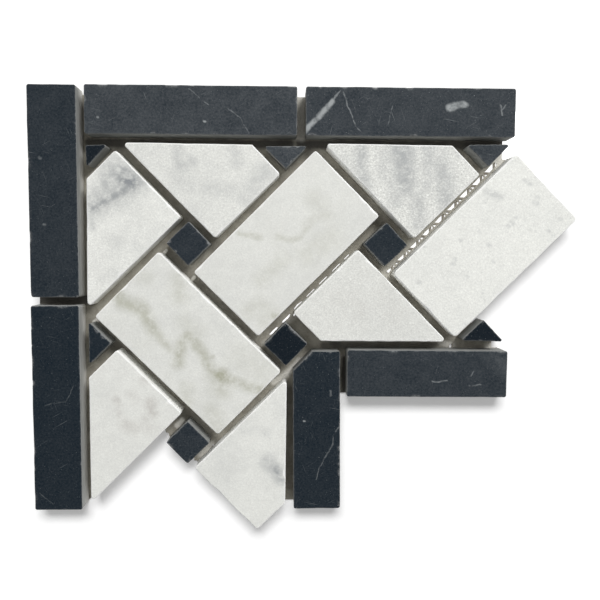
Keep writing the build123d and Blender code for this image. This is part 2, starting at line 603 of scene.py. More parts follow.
@dataclass(frozen=True)
class BlackMarble(Marble):
    """Black marble with fine white veins, honed on top and sawn grey at the sides.

    Attributes:
        bloom: How strongly a pale haze shows on the face.
        scuffs: How strongly fine scratches show.
        foot_paling: How strongly its right side turns paler toward the foot.
        foot_paling_from: Where along X that side starts, in millimetres.
        deep: Colour of its honed face.
        haze: Colour of the haze.
        vein_colour: Colour of its veins and scratches.
        sawn: Colour of its sawn sides.
        chipped: Colour of its worn edges and chips.
        foot_pale_colour: Colour that its right side turns to toward the foot.
    """

    bloom: float = 0.2
    scuffs: float = 0.3
    foot_paling: float = 0.0
    foot_paling_from: float = -88.0
    deep: Colour = (0.001, 0.007, 0.0135)
    haze: Colour = (0.101, 0.110, 0.118)
    vein_colour: Colour = (0.34, 0.36, 0.365)
    sawn: Colour = (0.27, 0.275, 0.265)
    chipped: Colour = (0.22, 0.228, 0.23)
    foot_pale_colour: Colour = (0.74, 0.73, 0.69)

    def material(self, name: str) -> bpy.types.Material:
        """Make the material.

        Args:
            name: The material's name.

        Returns:
            The material.
        """
        material, bench = self.start(name)
        place, up = self.place(bench)
        cut = bench.vector("ADD", place, self.shift)
        rolled = bench.warp(cut, 0.05, 8.0)
        haze = bench.noise(rolled, 0.14, 6.0, 0.7) - 0.5
        grain = bench.noise(cut, 1.2, 3.0, 0.8)
        specks = bench.noise(cut, 2.2, 1.0, 0.5).rise(0.70, 0.78)
        light = 1.0 + haze * 1.8 + (grain - 0.5) * 2.0
        face = bench.mix(light * self.bloom + (grain - 0.5) * 0.34, self.deep, self.haze)
        face = bench.mix(self._scratches(bench, cut) * self.scuffs, face, self.vein_colour)
        face = bench.mix(specks * (self.scuffs * 1.3), face, self.vein_colour)
        if self.veins:
            face = bench.mix(self.drawn(bench, place), face, self.vein_colour)
        top = up.rise(HONED_FROM, HONED_TO)
        saw = bench.noise(bench.vector("MULTIPLY", cut, (0.2, 0.2, 2.6)), 1.0, 3.0, 0.6)
        side = bench.scale(self.sawn, 0.5 + saw)
        # Paler toward the foot of its right side
        if self.foot_paling:
            across, _, level = bench.axes(place)
            foot_pale_mask = across.rise(self.foot_paling_from, self.foot_paling_from + 1.0) * self.foot_paling
            side = bench.mix((1.0 - level.rise(0.5, 9.0)) * foot_pale_mask, side, self.foot_pale_colour)
        colour = bench.mix(top, side, face)
        ragged = bench.noise(cut, 0.9, 3.0, 0.7).rise(0.35, 0.65)
        colour = bench.mix(self.worn(bench) * (ragged * 0.75 + 0.1), colour, self.chipped)
        rough = 0.85 - top * 0.33 + (grain - 0.5) * 0.15
        height = grain * 0.5 + saw * (1.0 - top) * 1.5
        self.close(bench, colour, rough, height, 0.08, Specular_IOR_Level=0.1)
        return material

    @staticmethod
    def _scratches(bench: Bench, cut: Any) -> Value:
        """Draw fine scratches that run several ways.

        Args:
            bench: The material's nodes.
            cut: The place in the stone, in millimetres.

        Returns:
            How much of a scratch shows, from 0 to 1.
        """
        lines = []
        for turn in (12.0, 68.0, 104.0, 151.0):
            turned = bench.add(
                "ShaderNodeVectorRotate",
                {"rotation_type": "Z_AXIS"},
                {"Vector": cut, "Angle": math.radians(turn)},
            )
            drawn = bench.vector("MULTIPLY", turned.outputs[0], (0.10, 2.6, 0.0))
            lines.append(bench.noise(drawn, 1.0, 1.0, 0.5).rise(0.70, 0.80))
        return reduce(Value.larger, lines) * bench.noise(cut, 0.12, 2.0).rise(0.40, 0.70)


@dataclass(frozen=True)
class GlassYarn(Finish):
    """Coated glass-fibre yarn, stained by the adhesive.

    Attributes:
        coat: Colour of its coat.
        stain: Colour of its stained stretches.
    """

    coat: Colour = (0.45, 0.42, 0.36)
    stain: Colour = (0.24, 0.215, 0.175)

    def material(self, name: str) -> bpy.types.Material:
        """Make the material.

        Args:
            name: The material's name.

        Returns:
            The material.
        """
        material, bench = self.start(name)
        place, _ = self.place(bench)
        stain = bench.noise(place, 0.22, 3.0, 0.6).rise(0.3, 0.7)
        fibre = bench.noise(place, 5.0, 2.0, 0.6)
        colour = bench.scale(bench.mix(stain, self.coat, self.stain), 0.75 + fibre * 0.5)
        self.close(bench, colour, 0.55 + fibre * 0.2, fibre, 0.06, Specular_IOR_Level=0.35)
        return material


@dataclass(frozen=True)
class DriedGlue(Finish):
    """Brown adhesive, dried to a skin in the joints and paler along the open ones, with painted
    light along some joints and painted shade along others.

    Attributes:
        pale_glue_and_painted_light: Where the skin is paler, as lines and spots along the joints;
            along the joints that run up to the right the paleness is painted light.
        painted_shade_lines: Where painted shade darkens it, as lines under the top strips, in the
            narrow gaps and along the joints that run down to the right.
        painted_shade_colour: Colour of the painted shade.
        skin: Colour of the skin.
        dark: Colour of its darker patches.
        pale: Colour of the paler lines and spots, and of the painted light.
    """

    pale_glue_and_painted_light: tuple[Vein, ...] = ()
    painted_shade_lines: tuple[Vein, ...] = ()
    painted_shade_colour: Colour = (0.045, 0.042, 0.035)
    skin: Colour = (0.42, 0.40, 0.34)
    dark: Colour = (0.28, 0.26, 0.215)
    pale: Colour = (0.74, 0.72, 0.66)

    def material(self, name: str) -> bpy.types.Material:
        """Make the material.

        Args:
            name: The material's name.

        Returns:
            The material.
        """
        material, bench = self.start(name)
        place, _ = self.place(bench)
        patch = bench.noise(place, 0.16, 4.0, 0.6).rise(0.3, 0.72)
        fine = bench.noise(place, 1.4, 3.0, 0.6)
        colour = bench.mix(patch, self.skin, self.dark)
        level = bench.warp(bench.vector("MULTIPLY", place, (1.0, 1.0, 0.0)), 0.3, 0.5)
        # Painted shade: near-black lines along the joints where shade falls
        for line in self.painted_shade_lines:
            colour = bench.mix(line.mask(bench, level), colour, self.painted_shade_colour)
        # Paler lines and spots; along the joints that run up to the right they are painted light
        for line in self.pale_glue_and_painted_light:
            colour = bench.mix(line.mask(bench, level), colour, self.pale)
        colour = bench.scale(colour, 0.7 + fine * 0.6)
        self.close(bench, colour, 0.5 + fine * 0.3, fine, 0.12, Specular_IOR_Level=0.4)
        return material


def new_piece(
    name: str, points: Any, faces: Sequence[Sequence[int]], material: bpy.types.Material
) -> bpy.types.Object:
    """Make a mesh object at the origin.

    Args:
        name: The piece's name.
        points: Its points in metres.
        faces: Its faces, by point numbers.
        material: Its material.

    Returns:
        The new object, in the scene.
    """
    mesh = bpy.data.meshes.new(name)
    mesh.from_pydata([tuple(map(float, p)) for p in points], [], faces)
    mesh.materials.append(material)
    mesh.polygons.foreach_set("use_smooth", [True] * len(mesh.polygons))
    mesh.validate()
    mesh.update()
    piece = bpy.data.objects.new(name, mesh)
    bpy.context.scene.collection.objects.link(piece)
    return piece


def hand_in(piece: bpy.types.Object, slot: Slot, *nodes: str) -> bpy.types.Object:
    """Put a finished piece in the place of its solids.

    Args:
        piece: The finished piece.
        slot: The record's slot for its finish; not used.
        nodes: The solids that it stands for.

    Returns:
        The piece.
    """
    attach(piece, BODY)
    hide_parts(*nodes)
    LOG.info("%s: %d faces", piece.name, len(piece.data.polygons))
    return piece


def solid_points(node: str) -> np.ndarray:
    """Read a solid's corner points.

    Args:
        node: The solid.

    Returns:
        The points in metres, one row each.
    """
    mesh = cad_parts[node].data
    flat = np.zeros(len(mesh.vertices) * 3)
    mesh.vertices.foreach_get("co", flat)
    return flat.reshape(-1, 3)


class Outline:
    """A stone's convex outline, which can be drawn in from its sides with round corners."""

    def __init__(self, node: str, radius: float, step: float) -> None:
        """Read the outline from a solid's foot.

        Args:
            node: The solid.
            radius: Radius of its upright corners, in millimetres.
            step: Spacing of points along its sides, in millimetres.
        """
        corners = solid_points(node)
        corners = corners[corners[:, 2] < corners[:, 2].min() + TOUCH * MM, :2] / MM
        corners = np.unique(corners.round(4), axis=0)
        around = corners - corners.mean(0)
        corners = corners[np.argsort(np.arctan2(around[:, 1], around[:, 0]))]
        runs = np.roll(corners, -1, axis=0) - corners
        straight = np.linalg.norm(runs, axis=1) > SHORTEST_SIDE
        runs, starts = runs[straight], corners[straight]
        self.radius = radius
        self.normals = np.column_stack([runs[:, 1], -runs[:, 0]])
        self.normals /= np.linalg.norm(self.normals, axis=1, keepdims=True)
        before = np.roll(self.normals, 1, axis=0)
        reach = (self.normals * starts).sum(1)
        self.corners = np.array(
            [
                np.linalg.solve(np.stack([a, b]), [p, q])
                for a, b, p, q in zip(before, self.normals, np.roll(reach, 1), reach)
            ]
        )
        share = 1 + (before * self.normals).sum(1, keepdims=True)
        self.inward = -(before + self.normals) / share
        self._spread(before, step)

    def _spread(self, before: np.ndarray, step: float) -> None:
        """Spread points over the corners and the sides.

        Args:
            before: The outward direction of the side before each corner.
            step: Spacing of points along the sides, in millimetres.
        """
        ahead = np.roll(self.corners, -1, axis=0)
        self.first: list[int] = []
        self.second: list[int] = []
        self.part: list[float] = []
        self.facing: list[np.ndarray] = []
        for k, normal in enumerate(self.normals):
            opening = math.acos(float(np.clip(before[k] @ normal, -1, 1)))
            turn = math.atan2(before[k][1], before[k][0])
            for angle in np.linspace(turn, turn + opening, CORNER_POINTS):
                self._point(k, k, 0.0, np.array([math.cos(angle), math.sin(angle)]))
            length = float(np.linalg.norm(ahead[k] - self.corners[k])) - 2 * self.radius
            count = max(2, int(length / step))
            for part in np.arange(1, count) / count:
                self._point(k, (k + 1) % len(self.normals), float(part), normal)

    def _point(self, first: int, second: int, part: float, facing: np.ndarray) -> None:
        """Note one point between two corners' arcs.

        Args:
            first: The corner that it follows.
            second: The corner ahead of it.
            part: Its part of the way between them.
            facing: Its outward direction.
        """
        self.first.append(first)
        self.second.append(second)
        self.part.append(part)
        self.facing.append(facing)

    def __len__(self) -> int:
        """Return the number of points round the outline."""
        return len(self.part)

    def ring(self, depth: Any) -> np.ndarray:
        """Draw the outline in from its sides.

        Args:
            depth: How far, in millimetres: one number or one for each point.

        Returns:
            The points in millimetres.
        """
        depth = np.broadcast_to(np.asarray(depth, dtype=float), len(self))[:, None]
        round_off = np.maximum(self.radius - depth, LEAST_RADIUS)
        part = np.array(self.part)[:, None]
        inset = depth + round_off
        first = self.corners[self.first] + self.inward[self.first] * inset
        second = self.corners[self.second] + self.inward[self.second] * inset
        return first * (1 - part) + second * part + np.array(self.facing) * round_off


@dataclass
class Stone:
    """One sawn stone: its solid's outline with a worn arris, chips and slightly uneven sides.

    Attributes:
        node: The solid that it stands for.
        slot: The record's slot for its finish.
        finish: Its marble.
        seed: Fixes its chips and unevenness.
        arris: Radius of its worn top edge, in millimetres.
        chips: Chips for each 100 mm of edge.
        chip_size: Largest depth of a chip, in millimetres.
        corner: Radius of its upright corners, in millimetres.
        step: Spacing of points along the edge, in millimetres.
        wave: Unevenness of the outline, in millimetres.
        foot: Height of the broken lower edge, in millimetres.
        flat: Width of the flat rim kept inside the arris, in millimetres.
        saw_mark: Unevenness of the sawn sides, in millimetres.
        lip: Width of the chips' pale lip on the face, in millimetres.
        wear: How worn its arris looks, from 0 to 1; on the white stones it also sets the painted
            highlight there.
        slip: How far it slipped as it was laid, along X and Y, in millimetres.
        arris_turns: Turns from its side to its face round the arris, in degrees.
        side_heights: Where its sides are ringed, as shares of their height.
    """

    node: str
    slot: Slot
    finish: Marble
    seed: int
    arris: float = 0.4
    chips: float = 8.0
    chip_size: float = 0.5
    corner: float = 0.9
    step: float = 0.45
    wave: float = 0.05
    foot: float = 0.25
    flat: float = 0.5
    saw_mark: float = 0.03
    lip: float = 0.12
    wear: float = 0.55
    slip: tuple[float, float] = (0.0, 0.0)
    arris_turns: tuple[float, ...] = (0.0, 25.0, 50.0, 72.0, 90.0)
    side_heights: tuple[float, ...] = (0.2, 0.45, 0.7, 0.88)

    def build(self) -> bpy.types.Object:
        """Make the stone and put it in its solid's place.

        Returns:
            The finished piece.
        """
        rng = np.random.default_rng(self.seed)
        outline = Outline(self.node, self.corner, self.step)
        low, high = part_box(self.node)
        bottom, top = low.z / MM, high.z / MM
        count = len(outline)
        uneven = self.wave * (1 + 0.5 * ripple(rng, count, OUTLINE_WAVES))
        chip = self._chipping(rng, count)
        radius = self.arris * (1 + 0.25 * ripple(rng, count, ARRIS_WAVES)) + chip
        rings: list[np.ndarray] = []
        worn: list[np.ndarray] = []

        def ring(inset: Any, height: Any, wear: Any) -> None:
            """Add one ring of points round the stone.

            Args:
                inset: How far it is drawn in, in millimetres.
                height: Its height, in millimetres.
                wear: How worn the stone looks there, from 0 to 1.
            """
            level = outline.ring(uneven + inset) + self.slip
            rings.append(np.column_stack([level, np.broadcast_to(height, count)]))
            worn.append(np.array(np.broadcast_to(wear, count), dtype=float))

        rim = self.foot * (1.2 + 0.4 * ripple(rng, count, FOOT_WAVES))
        ring(rim, bottom, 0.3)
        ring(0.0, bottom + rim, 0.0)
        for share in self.side_heights:
            sawn = self.saw_mark * (1 + 0.5 * ripple(rng, count, SAW_WAVES))
            ring(sawn, bottom + self.foot + share * (top - radius - bottom - self.foot), 0.0)
        deep = np.clip(chip / self.chip_size, 0, 1)
        for turn in self.arris_turns:
            angle = math.radians(turn)
            wear = np.clip(self.wear * (1.0 if 0 < turn < 90 else 0.55) + deep, 0, 1)
            ring(radius * (1 - math.cos(angle)), top - radius * (1 - math.sin(angle)), wear)
        ring(radius + self.lip, top, deep * 0.4)
        ring(self.chip_size + self.arris * 1.5 + self.flat, top, 0.0)
        points, faces = skin(rings)
        material = self.finish.material(self.node)
        piece = new_piece(f"{self.node}_stone", points * MM, faces, material)
        attribute = piece.data.attributes.new("worn", "FLOAT", "POINT")
        attribute.data.foreach_set("value", np.concatenate(worn).astype(np.float32))
        return hand_in(piece, self.slot, self.node)

    def _chipping(self, rng: np.random.Generator, count: int) -> np.ndarray:
        """Knock chips out of the arris.

        Args:
            rng: The stone's random numbers.
            count: Points along the edge.

        Returns:
            The depth of chipping at each point, in millimetres.
        """
        depth = np.zeros(count)
        at = np.arange(count)
        for _ in range(int(self.chips * count * self.step / 100)):
            middle = rng.integers(count)
            length = rng.uniform(0.6, 2.6) / self.step
            away = np.abs((at - middle + count / 2) % count - count / 2) / length
            bite = self.chip_size * rng.uniform(0.15, 1.0) ** 2
            depth = np.maximum(depth, bite * np.clip(1 - away**2, 0, None))
        return depth


def ripple(rng: np.random.Generator, count: int, waves: int) -> np.ndarray:
    """Make a smooth closed random wave.

    Args:
        rng: The random numbers.
        count: Points round the loop.
        waves: The most waves in one round.

    Returns:
        One number for each point, mostly within -1 and 1.
    """
    turn = np.linspace(0, 2 * math.pi, count, endpoint=False)
    total = np.zeros(count)
    for k in range(1, waves + 1):
        total += rng.normal() * np.sin(k * turn + rng.uniform(0, 2 * math.pi))
    return total / math.sqrt(waves)


def skin(rings: Sequence[np.ndarray]) -> tuple[np.ndarray, list[list[int]]]:
    """Join rings of points to a closed shell, from its foot to its top.

    Args:
        rings: Rings of as many points each, anticlockwise.

    Returns:
        The points and the faces.
    """
    count = len(rings[0])
    faces = [list(range(count))[::-1]]
    for k in range(len(rings) - 1):
        base, next_base = k * count, (k + 1) * count
        for a in range(count):
            b = (a + 1) % count
            faces.append([base + a, base + b, next_base + b, next_base + a])
    last = (len(rings) - 1) * count
    faces.append(list(range(last, last + count)))
    return np.vstack(rings), faces


@dataclass
class WovenNet:
    """The glass-fibre net: yarns that pass over and under each other.

    Attributes:
        finish: The yarn's finish.
        height: Height of the net's middle plane, in millimetres.
        wave: How far a yarn rises and falls, in millimetres.
        width: Width of a yarn, in millimetres.
        thickness: Thickness of a yarn, in millimetres.
        stray: How far a yarn strays sideways, in millimetres.
        step: Spacing of points along a yarn, in millimetres.
        lengthwise_seed: Fixes how the lengthwise yarns stray.
        crosswise_seed: Fixes how the crosswise yarns stray.
        nodes: The solids that the yarns of each way stand for.
    """

    finish: GlassYarn = field(default_factory=GlassYarn)
    height: float = 0.5
    wave: float = 0.14
    width: float = 1.05
    thickness: float = 0.52
    stray: float = 0.16
    step: float = 1.0
    lengthwise_seed: float = 3.0
    crosswise_seed: float = 7.0
    nodes: dict[YarnWay, str] = field(
        default_factory=lambda: {
            YarnWay.LENGTHWISE: "net_lengthwise_strands",
            YarnWay.CROSSWISE: "net_crosswise_strands",
        }
    )

    def build(self) -> list[bpy.types.Object]:
        """Make the yarns of both ways.

        Returns:
            One finished piece for each way.
        """
        material = self.finish.material("glass_yarn")
        runs = {way: self._runs(way) for way in YarnWay}
        columns = np.unique(runs[YarnWay.LENGTHWISE][:, 0, 0].round(3))
        rows = np.unique(runs[YarnWay.CROSSWISE][:, 0, 1].round(3))
        pitch = float(np.median(np.diff(columns)))
        tree = self._tree()
        pieces = []
        for way, node in self.nodes.items():
            lengthwise = way is YarnWay.LENGTHWISE
            base = self._base(f"{node}_yarns", runs[way])
            sizes = {
                "Pitch": pitch * MM,
                "First Column": float(columns[0]) * MM,
                "First Row": float(rows[0]) * MM,
                "Wave": self.wave * way.value * MM,
                "Yarn Width": self.width * MM,
                "Yarn Thickness": self.thickness * MM,
                "Stray": self.stray * MM,
                "Step": self.step * MM,
                "Seed": self.lengthwise_seed if lengthwise else self.crosswise_seed,
                "Material": material,
            }
            pieces.append(hand_in(grow(base, tree, sizes), Slot.NET, node))
        return pieces

    def _runs(self, way: YarnWay) -> np.ndarray:
        """Find where the yarns of one way start and end.

        Args:
            way: The yarns' way.

        Returns:
            Start and end points in millimetres, two rows for each yarn.
        """
        along = 1 if way is YarnWay.LENGTHWISE else 0
        runs = []
        for low, high in islands(self.nodes[way]):
            middle = (low + high) / 2
            start, end = middle.copy(), middle.copy()
            start[along], end[along] = low[along], high[along]
            start[2] = end[2] = self.height
            runs.append((start, end))
        return np.array(runs)

    @staticmethod
    def _base(name: str, runs: np.ndarray) -> bpy.types.Object:
        """Make an object of one straight edge for each yarn.

        Args:
            name: The piece's name.
            runs: Start and end points in millimetres.

        Returns:
            The object.
        """
        mesh = bpy.data.meshes.new(name)
        edges = [(2 * k, 2 * k + 1) for k in range(len(runs))]
        mesh.from_pydata([tuple(p) for p in runs.reshape(-1, 3) * MM], edges, [])
        piece = bpy.data.objects.new(name, mesh)
        bpy.context.scene.collection.objects.link(piece)
        return piece

    @staticmethod
    def _tree() -> bpy.types.NodeTree:
        """Make the tree that turns straight edges to woven yarns.

        Returns:
            The tree.
        """
        tree = bpy.data.node_groups.new("woven_yarns", "GeometryNodeTree")
        bench = Bench(tree)
        tree.interface.new_socket("Geometry", in_out="INPUT", socket_type="NodeSocketGeometry")
        names = (
            "Pitch",
            "First Column",
            "First Row",
            "Wave",
            "Yarn Width",
            "Yarn Thickness",
            "Stray",
            "Step",
            "Seed",
        )
        for name in names:
            tree.interface.new_socket(name, in_out="INPUT", socket_type="NodeSocketFloat")
        tree.interface.new_socket("Material", in_out="INPUT", socket_type="NodeSocketMaterial")
        tree.interface.new_socket("Geometry", in_out="OUTPUT", socket_type="NodeSocketGeometry")
        given = bench.add("NodeGroupInput").outputs
        line = bench.add("GeometryNodeMeshToCurve", None, {"Mesh": given["Geometry"]})
        points = bench.add(
            "GeometryNodeResampleCurve",
            {"mode": "LENGTH"},
            {"Curve": line.outputs[0], "Length": given["Step"]},
        )
        here = bench.add("GeometryNodeInputPosition").outputs[0]
        x, y, _ = bench.axes(here)
        turn = bench.math("DIVIDE", math.pi, given["Pitch"])
        over_x = bench.math("COSINE", (x - given["First Column"]) * turn)
        over_y = bench.math("COSINE", (y - given["First Row"]) * turn)
        rise = over_x * over_y * given["Wave"]
        noise = bench.add(
            "ShaderNodeTexNoise",
            {"noise_dimensions": "4D"},
            {"Vector": here, "W": given["Seed"], "Scale": STRAY_WAVES, "Detail": 2.0},
        )
        stray = bench.vector("SUBTRACT", noise.outputs["Color"], (0.5, 0.5, 0.5))
        stray = bench.vector("MULTIPLY", stray, (1.0, 1.0, 0.1))
        stray = bench.scale(stray, Value(bench, given["Stray"]) * 2.0)
        up = bench.add("ShaderNodeCombineXYZ", None, {"Z": rise})
        moved = bench.add(
            "GeometryNodeSetPosition",
            None,
            {
                "Geometry": points.outputs[0],
                "Offset": bench.vector("ADD", stray, up.outputs[0]),
            },
        )
        level = bench.add(
            "GeometryNodeSetCurveNormal", {"mode": "Z_UP"}, {"Curve": moved.outputs[0]}
        )
        circle = bench.add(
            "GeometryNodeCurvePrimitiveCircle", None, {"Resolution": YARN_SIDES, "Radius": 0.5}
        )
        section = bench.add(
            "ShaderNodeCombineXYZ",
            None,
            {"X": given["Yarn Width"], "Y": given["Yarn Thickness"], "Z": 1.0},
        )
        profile = bench.add(
            "GeometryNodeTransform",
            None,
            {"Geometry": circle.outputs[0], "Scale": section.outputs[0]},
        )
        yarn = bench.add(
            "GeometryNodeCurveToMesh",
            None,
            {"Curve": level.outputs[0], "Profile Curve": profile.outputs[0], "Fill Caps": True},
        )
        whole = bench.add("GeometryNodeRealizeInstances", None, {"Geometry": yarn.outputs[0]})
        dressed = bench.add(
            "GeometryNodeSetMaterial",
            None,
            {"Geometry": whole.outputs[0], "Material": given["Material"]},
        )
        bench.add("NodeGroupOutput", None, {"Geometry": dressed.outputs[0]})
        return tree


def grow(
    base: bpy.types.Object, tree: bpy.types.NodeTree, sizes: dict[str, Any]
) -> bpy.types.Object:
    """Run a geometry tree on an object and keep the result as its plain mesh.

    Args:
        base: The object to start from.
        tree: The geometry tree.
        sizes: The tree's inputs, by name.

    Returns:
        The object with its new mesh and no modifier.
    """
    modifier = base.modifiers.new("grow", "NODES")
    modifier.node_group = tree
    for item in tree.interface.items_tree:
        if item.in_out == "INPUT" and item.name in sizes:
            modifier[item.identifier] = sizes[item.name]
    depsgraph = bpy.context.evaluated_depsgraph_get()
    mesh = bpy.data.meshes.new_from_object(base.evaluated_get(depsgraph))
    base.modifiers.remove(modifier)
    old = base.data
    base.data = mesh
    bpy.data.meshes.remove(old)
    mesh.name = base.name
    mesh.polygons.foreach_set("use_smooth", [True] * len(mesh.polygons))
    mesh.update()
    return base


def islands(node: str) -> list[tuple[np.ndarray, np.ndarray]]:
    """Find the separate bodies of a node.

    Args:
        node: A node of several solids that don't touch.

    Returns:
        The lowest and highest corner of each, in millimetres.
    """
    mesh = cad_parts[node].data
    points = (solid_points(node) / MM).round(3)
    _, same = np.unique(points, axis=0, return_inverse=True)
    same = same.ravel()
    parent = list(range(int(same.max()) + 1))

    def root(k: int) -> int:
        """Find the first member of a point's group.

        Args:
            k: The point's number.

        Returns:
            The first member's number.
        """
        while parent[k] != k:
            parent[k] = parent[parent[k]]
            k = parent[k]
        return k

    for polygon in mesh.polygons:
        first, *rest = (root(int(same[v])) for v in polygon.vertices)
        for other in rest:
            parent[root(other)] = root(first)
    groups: dict[int, list[int]] = {}
    for index, k in enumerate(same):
        groups.setdefault(root(int(k)), []).append(index)
    boxes = [(points[g].min(0), points[g].max(0)) for g in groups.values()]
    return sorted(boxes, key=lambda box: (box[0][0], box[0][1]))


@dataclass
class GlueBed:
    """The adhesive: a skin over the net, open along some joints, with a bed under each stone.

    Attributes:
        stones: The stones' nodes.
        finish: The adhesive's finish.
        node: The solid that it stands for.
        lower: Height of the skin's underside, in millimetres.
        upper: Height of its top, in millimetres.
        draw_in: How far a bed stops inside its stone, in millimetres.
        corner_share: How much further it stops inside the stone's corners.
        overlap: How far it reaches down into the skin, in millimetres.
        ragged: Unevenness of the openings, in millimetres.
        waves: The most waves of that unevenness round an opening.
        beside: The stones that the openings run along, the one with wide openings first.
        narrow: How much of a narrow opening's width the adhesive leaves.
        wide: Width of a wide opening at its stone's lower and upper end, in millimetres.
        long: Length of a wide opening, as a share of its solid's.
        short: Length of a narrow opening, as a share of its solid's.
        rounds: How often an opening's corners are cut to round it.
        seed: Fixes the unevenness.
    """

    stones: Sequence[str]
    finish: DriedGlue
    node: str = "adhesive_film"
    lower: float = 0.5
    upper: float = 0.9
    draw_in: float = 1.4
    corner_share: float = 1.4
    overlap: float = 0.05
    ragged: float = 0.16
    waves: int = 4
    beside: tuple[str, ...] = ("brick_right_end", "brick_inner_right", "dot_inner_corner")
    narrow: float = 0.5
    wide: tuple[float, float] = (0.8, 1.7)
    long: float = 1.1
    short: float = 0.8
    rounds: int = 2
    seed: int = 11

    def build(self) -> bpy.types.Object:
        """Make the adhesive as one piece.

        Returns:
            The finished piece.
        """
        rng = np.random.default_rng(self.seed)
        outline, *openings = sorted(self._loops(), key=loop_length, reverse=True)
        loops = [outline]
        for rounded in map(self._opening, openings):
            away = rounded - rounded.mean(0)
            span = np.linalg.norm(away, axis=1, keepdims=True)
            uneven = self.ragged * ripple(rng, len(rounded), self.waves)[:, None]
            loops.append(rounded + away / np.maximum(span, TOUCH) * uneven)
        points, faces = self._sheet(loops)
        for stone in self.stones:
            bed_points, bed_faces = self._bed(stone)
            faces += [[k + len(points) for k in f] for f in bed_faces]
            points = np.vstack([points, bed_points])
        material = self.finish.material("dried_glue")
        piece = new_piece("adhesive_film_bed", points * MM, faces, material)
        piece.data.polygons.foreach_set("use_smooth", [False] * len(piece.data.polygons))
        return hand_in(piece, Slot.ADHESIVE, self.node)

    def _opening(self, loop: np.ndarray) -> np.ndarray:
        """Draw an opening in to the foot of the stone at its lower right.

        Args:
            loop: The solid's opening, as points in millimetres.

        Returns:
            The rounded opening.
        """
        across, along = np.array([(1.0, -1.0), (1.0, 1.0)]) / math.sqrt(2)
        even = evenly(loop)
        depth, run = even @ across, even @ along
        middle, half = (run.max() + run.min()) / 2, (run.max() - run.min()) / 2
        foot, stone, width = depth.max(), "", self.wide[0]
        for node in self.beside:
            corners = solid_points(node)[:, :2] / MM
            reach, edge = corners @ along, (corners @ across).min()
            if reach.min() < middle < reach.max() and depth.min() < edge < foot + self.draw_in:
                foot, stone = edge, node
                width = np.interp(middle, (reach.min(), reach.max()), self.wide)
        if stone == self.beside[0]:
            ends = middle + half * self.long * np.array([-1.0, 1.0, 1.0, -1.0])
            sides = foot - width * np.array([1.0, 1.0, 0.0, 0.0])
            slit = np.outer(sides, across) + np.outer(ends, along)
            return soften(evenly(slit), self.rounds)
        depth = foot + (np.minimum(depth, foot) - foot) * self.narrow
        run = middle + (run - middle) * self.short
        drawn = np.outer(depth, across) + np.outer(run, along)
        apart = np.linalg.norm(drawn - np.roll(drawn, 1, axis=0), axis=1) > TOUCH
        return soften(drawn[apart], self.rounds)

    def _sheet(self, loops: Sequence[np.ndarray]) -> tuple[np.ndarray, list[list[int]]]:
        """Fill an outline, less its openings, to a flat skin.

        Args:
            loops: The outline and the openings, as closed lines of points in millimetres.

        Returns:
            The skin's points in millimetres, and its faces.
        """
        starts = np.concatenate(loops)
        ends = np.concatenate([np.roll(loop, -1, axis=0) for loop in loops])
        firsts = np.cumsum([0] + [len(loop) for loop in loops])
        lines = [
            (int(first) + k, int(first) + (k + 1) % len(loop))
            for first, loop in zip(firsts, loops)
            for k in range(len(loop))
        ]
        inside, merge = 1, 1e-5
        corners = [Vector(p) for p in starts]
        places, _, patches, *_ = delaunay_2d_cdt(corners, lines, [], inside, merge)
        flat = np.array([tuple(p) for p in places])

        def filled(patch: Sequence[int]) -> bool:
            """Tell whether a patch lies inside the outline and outside the openings.

            Args:
                patch: The patch's points, by number.

            Returns:
                Whether the adhesive fills it.
            """
            x, y = flat[list(patch)].mean(0)
            passed = (starts[:, 1] > y) != (ends[:, 1] > y)
            (x0, y0), (x1, y1) = starts[passed].T, ends[passed].T
            return int((x0 + (y - y0) * (x1 - x0) / (y1 - y0) > x).sum()) % 2 == 1

        upper = [list(patch) for patch in patches if filled(patch)]
        runs = {run for patch in upper for run in zip(patch, patch[1:] + patch[:1])}
        count = len(flat)
        lower = [[k + count for k in reversed(patch)] for patch in upper]
        rims = [[p, p + count, q + count, q] for p, q in runs if (q, p) not in runs]
        heights = np.repeat((self.upper, self.lower), count)
        return np.column_stack([np.vstack([flat, flat]), heights]), upper + lower + rims

    def _loops(self) -> list[np.ndarray]:
        """Find the outline and the openings of the solid's top face.

        Returns:
            Closed lines of points in millimetres.
        """
        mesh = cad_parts[self.node].data
        points = (solid_points(self.node) / MM).round(3)
        top = points[:, 2].max() - TOUCH
        _, same = np.unique(points, axis=0, return_inverse=True)
        same = same.ravel()
        places = {int(k): points[index, :2] for index, k in enumerate(same)}
        runs: set[tuple[int, int]] = set()
        for polygon in mesh.polygons:
            if all(points[v, 2] > top for v in polygon.vertices):
                corners = [int(same[v]) for v in polygon.vertices]
                runs.update(zip(corners, corners[1:] + corners[:1]))
        follows = {a: b for a, b in runs if (b, a) not in runs}
        loops = []
        while follows:
            start, here = follows.popitem()
            loop = [start]
            while here != start:
                loop.append(here)
                here = follows.pop(here)
            loops.append(np.array([places[k] for k in loop]))
        return loops

    def _bed(self, stone: str) -> tuple[np.ndarray, list[list[int]]]:
        """Make the bed under one stone.

        Args:
            stone: The stone's node.

        Returns:
            The bed's points in millimetres, and its faces.
        """
        corners = solid_points(stone) / MM
        level = corners[:, 2].min()
        outline = corners[corners[:, 2] < level + TOUCH, :2]
        outline = np.unique(outline.round(3), axis=0)
        away = outline - outline.mean(0)
        outline = outline[np.argsort(np.arctan2(away[:, 1], away[:, 0]))]
        middle = outline.mean(0)
        span = np.linalg.norm(outline - middle, axis=1, keepdims=True)
        inner = middle + (outline - middle) * (1 - self.corner_share * self.draw_in / span)
        heights = (self.upper - self.overlap, level)
        rings = [np.column_stack([inner, np.full(len(inner), height)]) for height in heights]
        return skin(rings)


